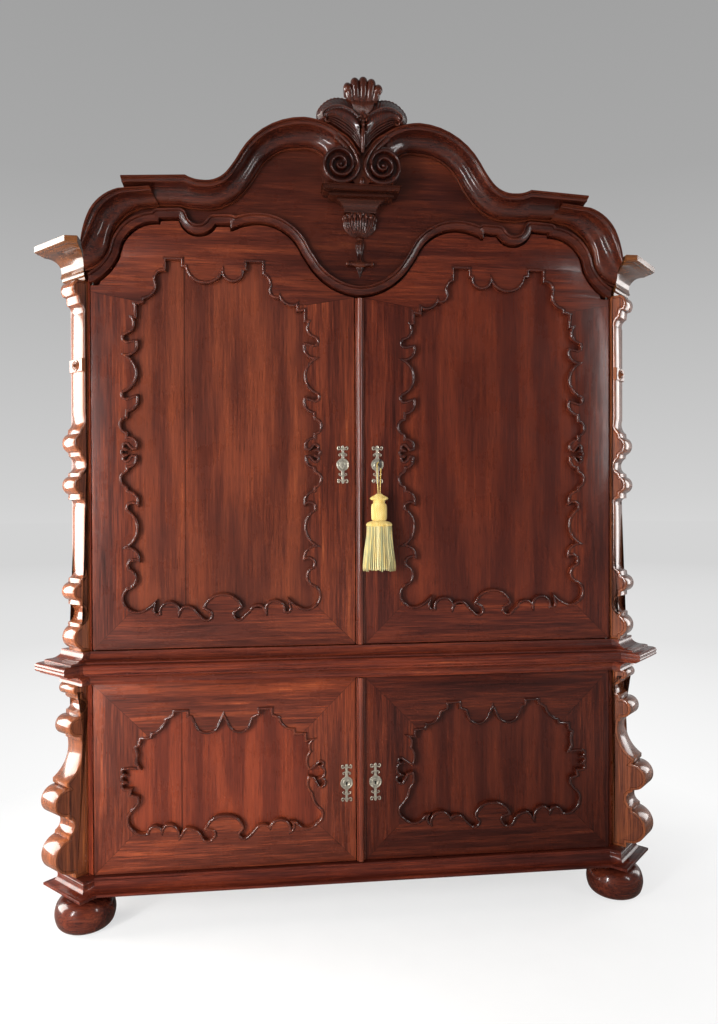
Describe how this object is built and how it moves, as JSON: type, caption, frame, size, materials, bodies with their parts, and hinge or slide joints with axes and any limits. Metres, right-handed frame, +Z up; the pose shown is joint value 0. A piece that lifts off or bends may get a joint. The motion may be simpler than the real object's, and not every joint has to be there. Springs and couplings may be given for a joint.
{
  "type": "kas cupboard",
  "caption": "Double-bodied mahogany cupboard with a swan-neck pediment, shaped pivoted doors, canted scroll corners and bun feet",
  "frame": {"origin": "middle of the box that holds the cupboard, on the floor", "axes": "+Z up, the front looks along -Y, +X to the right of someone facing the front"},
  "size_m": [2.0322, 0.68, 2.5962],
  "materials": {
    "case_mahogany": "polished dark red-brown",
    "carved_mahogany": "polished, dark in the hollows",
    "door_mahogany": "polished crossbanded veneer",
    "panel_mahogany": "polished figured veneer",
    "inner_boards": "plain planed boards",
    "pale_brass": "worn pale brass",
    "iron": "dark wrought iron",
    "silk": "pale gold silk thread"
  },
  "bodies": {
    "case": {"foot_front_left": "carved_mahogany", "foot_front_right": "carved_mahogany", "foot_back_left": "carved_mahogany", "foot_back_right": "carved_mahogany", "base_plinth": "case_mahogany", "waist_moulding": "case_mahogany", "lower_side_left": "case_mahogany", "lower_side_right": "case_mahogany", "upper_side_left": "case_mahogany", "upper_side_right": "case_mahogany", "lower_back": "inner_boards", "deck": "inner_boards", "lower_shelf": "inner_boards", "upper_shelf_low": "inner_boards", "upper_shelf_high": "inner_boards", "upper_scroll_right": "case_mahogany", "upper_scroll_left": "case_mahogany", "lower_scroll_right": "case_mahogany", "lower_scroll_left": "case_mahogany", "crown_right": "carved_mahogany", "crown_left": "carved_mahogany", "tympanum": "carved_mahogany", "roof": "inner_boards", "upper_back": "inner_boards", "cornice_right": "case_mahogany", "cornice_left": "case_mahogany", "volute_right": "carved_mahogany", "volute_left": "carved_mahogany", "console": "carved_mahogany", "shell_drop": "carved_mahogany", "crest": "carved_mahogany", "top_pin_right": "iron", "top_pin_left": "iron", "waist_pin_right": "iron", "waist_pin_left": "iron", "base_pin_right": "iron", "base_pin_left": "iron"},
    "upper_right_door": {"upper_right_door_frame": "door_mahogany", "upper_right_door_panel": "panel_mahogany", "upper_meeting_strip": "case_mahogany", "upper_lock": "iron", "upper_escutcheon_right": "pale_brass"},
    "upper_left_door": {"upper_left_door_frame": "door_mahogany", "upper_left_door_panel": "panel_mahogany", "upper_escutcheon_left": "pale_brass"},
    "lower_right_door": {"lower_right_door_frame": "door_mahogany", "lower_right_door_panel": "panel_mahogany", "lower_meeting_strip": "case_mahogany", "lower_lock": "iron", "lower_escutcheon_right": "pale_brass"},
    "lower_left_door": {"lower_left_door_frame": "door_mahogany", "lower_left_door_panel": "panel_mahogany", "lower_escutcheon_left": "pale_brass"},
    "keyhole_cover": {"keyhole_cover": "pale_brass"},
    "key": {"key": "iron"},
    "tassel": {"tassel_cord": "silk", "tassel_head": "silk", "tassel_skirt": "silk"}
  },
  "joints": [
    {"name": "upper_right_door_pivot", "type": "hinge", "parent": "case", "child": "upper_right_door", "pos_m": [0.8175, -0.214, 1.4], "axis": [0, 0, 1], "range_deg": [0, 90]},
    {"name": "upper_left_door_pivot", "type": "hinge", "parent": "case", "child": "upper_left_door", "pos_m": [-0.8175, -0.214, 1.4], "axis": [0, 0, 1], "range_deg": [-90, 0]},
    {"name": "lower_right_door_pivot", "type": "hinge", "parent": "case", "child": "lower_right_door", "pos_m": [0.8175, -0.214, 0.45], "axis": [0, 0, 1], "range_deg": [0, 110]},
    {"name": "lower_left_door_pivot", "type": "hinge", "parent": "case", "child": "lower_left_door", "pos_m": [-0.8175, -0.214, 0.45], "axis": [0, 0, 1], "range_deg": [-110, 0]},
    {"name": "keyhole_cover_pivot", "type": "hinge", "parent": "upper_left_door", "child": "keyhole_cover", "pos_m": [-0.055, -0.2244, 1.431], "axis": [0, 1, 0], "range_deg": [-100, 100]},
    {"name": "key_turn", "type": "hinge", "parent": "upper_right_door", "child": "key", "pos_m": [0.055, -0.25, 1.422], "axis": [0, 1, 0], "range_deg": [-180, 180]},
    {"name": "tassel_swing", "type": "hinge", "parent": "upper_right_door", "child": "tassel", "pos_m": [0.055, -0.26, 1.422], "axis": [0, 1, 0], "range_deg": [-10, 10]}
  ]
}
